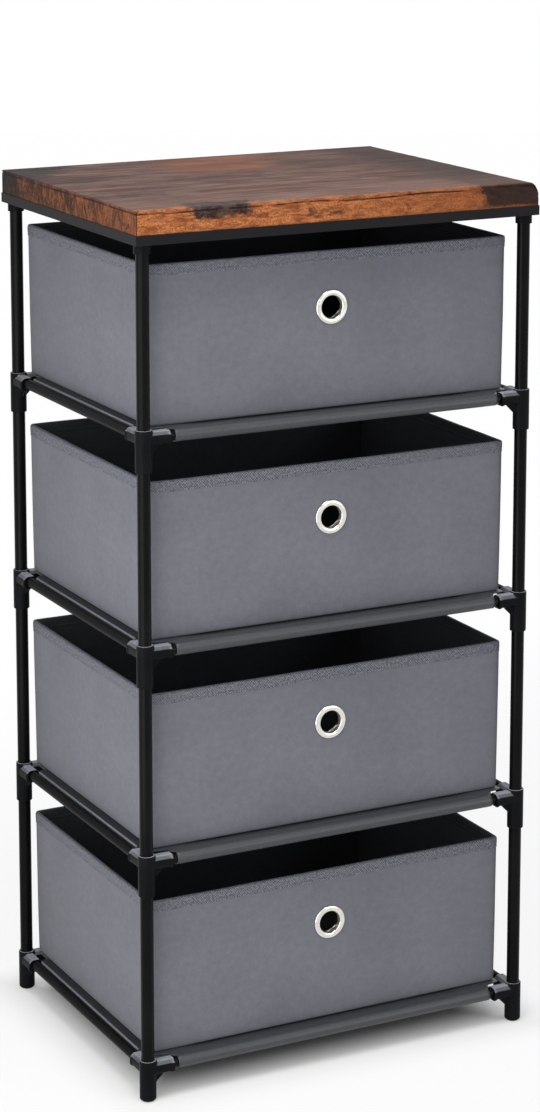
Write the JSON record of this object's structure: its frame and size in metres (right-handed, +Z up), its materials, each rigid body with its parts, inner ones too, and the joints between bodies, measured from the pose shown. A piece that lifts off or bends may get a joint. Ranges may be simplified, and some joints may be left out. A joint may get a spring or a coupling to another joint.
{
  "type": "fabric drawer dresser",
  "caption": "Tall narrow dresser with a black tube frame, plastic corner connectors, a thick wood-look top, fabric shelves and grey fabric pull-out drawers with ring eyelets.",
  "frame": {"origin": "on the floor, under the centre of the rectangle of the four legs", "axes": "+Z up, the drawers' fronts face -Y, +X to the right seen from the front"},
  "size_m": [0.508, 0.381, 1.016],
  "materials": {
    "connector_plastic": "satin black moulded plastic",
    "black_steel": "glossy black coated steel tube",
    "shelf_fabric": "dark grey non-woven fabric, sewn",
    "wood_board": "rustic brown wood-look board with dark streaks",
    "backing_board": "black painted board",
    "drawer_fabric": "grey non-woven fabric",
    "stiffener_board": "grey-brown pressed fibreboard, hidden in the walls",
    "lining_fabric": "black non-woven lining",
    "lining_board": "stiff board covered in black non-woven fabric",
    "eyelet_chrome": "bright plated metal ring"
  },
  "bodies": {
    "rack": {"front_left_foot_connector": "connector_plastic", "front_left_connector_2": "connector_plastic", "front_left_connector_3": "connector_plastic", "front_left_connector_4": "connector_plastic", "front_left_leg_tubes": "black_steel", "front_right_foot_connector": "connector_plastic", "front_right_connector_2": "connector_plastic", "front_right_connector_3": "connector_plastic", "front_right_connector_4": "connector_plastic", "front_right_leg_tubes": "black_steel", "rear_left_foot_connector": "connector_plastic", "rear_left_connector_2": "connector_plastic", "rear_left_connector_3": "connector_plastic", "rear_left_connector_4": "connector_plastic", "rear_left_leg_tubes": "black_steel", "rear_right_foot_connector": "connector_plastic", "rear_right_connector_2": "connector_plastic", "rear_right_connector_3": "connector_plastic", "rear_right_connector_4": "connector_plastic", "rear_right_leg_tubes": "black_steel", "front_rail_1": "black_steel", "rear_rail_1": "black_steel", "side_rails_1": "black_steel", "fabric_shelf_1": "shelf_fabric", "front_rail_2": "black_steel", "rear_rail_2": "black_steel", "side_rails_2": "black_steel", "fabric_shelf_2": "shelf_fabric", "front_rail_3": "black_steel", "rear_rail_3": "black_steel", "side_rails_3": "black_steel", "fabric_shelf_3": "shelf_fabric", "front_rail_4": "black_steel", "rear_rail_4": "black_steel", "side_rails_4": "black_steel", "fabric_shelf_4": "shelf_fabric", "top_board": "wood_board", "top_backing_panel": "backing_board", "top_sockets": "connector_plastic"},
    "drawer_1": {"drawer_1_shell": "drawer_fabric", "drawer_1_wall_boards": "stiffener_board", "drawer_1_lining": "lining_fabric", "drawer_1_base_board": "lining_board", "drawer_1_eyelet": "eyelet_chrome"},
    "drawer_2": {"drawer_2_shell": "drawer_fabric", "drawer_2_wall_boards": "stiffener_board", "drawer_2_lining": "lining_fabric", "drawer_2_base_board": "lining_board", "drawer_2_eyelet": "eyelet_chrome"},
    "drawer_3": {"drawer_3_shell": "drawer_fabric", "drawer_3_wall_boards": "stiffener_board", "drawer_3_lining": "lining_fabric", "drawer_3_base_board": "lining_board", "drawer_3_eyelet": "eyelet_chrome"},
    "drawer_4": {"drawer_4_shell": "drawer_fabric", "drawer_4_wall_boards": "stiffener_board", "drawer_4_lining": "lining_fabric", "drawer_4_base_board": "lining_board", "drawer_4_eyelet": "eyelet_chrome"}
  },
  "joints": [
    {"name": "drawer_1_slide", "type": "slide", "parent": "rack", "child": "drawer_1", "axis": [0, -1, 0], "range_m": [0, 0.27]},
    {"name": "drawer_2_slide", "type": "slide", "parent": "rack", "child": "drawer_2", "axis": [0, -1, 0], "range_m": [0, 0.27]},
    {"name": "drawer_3_slide", "type": "slide", "parent": "rack", "child": "drawer_3", "axis": [0, -1, 0], "range_m": [0, 0.27]},
    {"name": "drawer_4_slide", "type": "slide", "parent": "rack", "child": "drawer_4", "axis": [0, -1, 0], "range_m": [0, 0.27]}
  ]
}
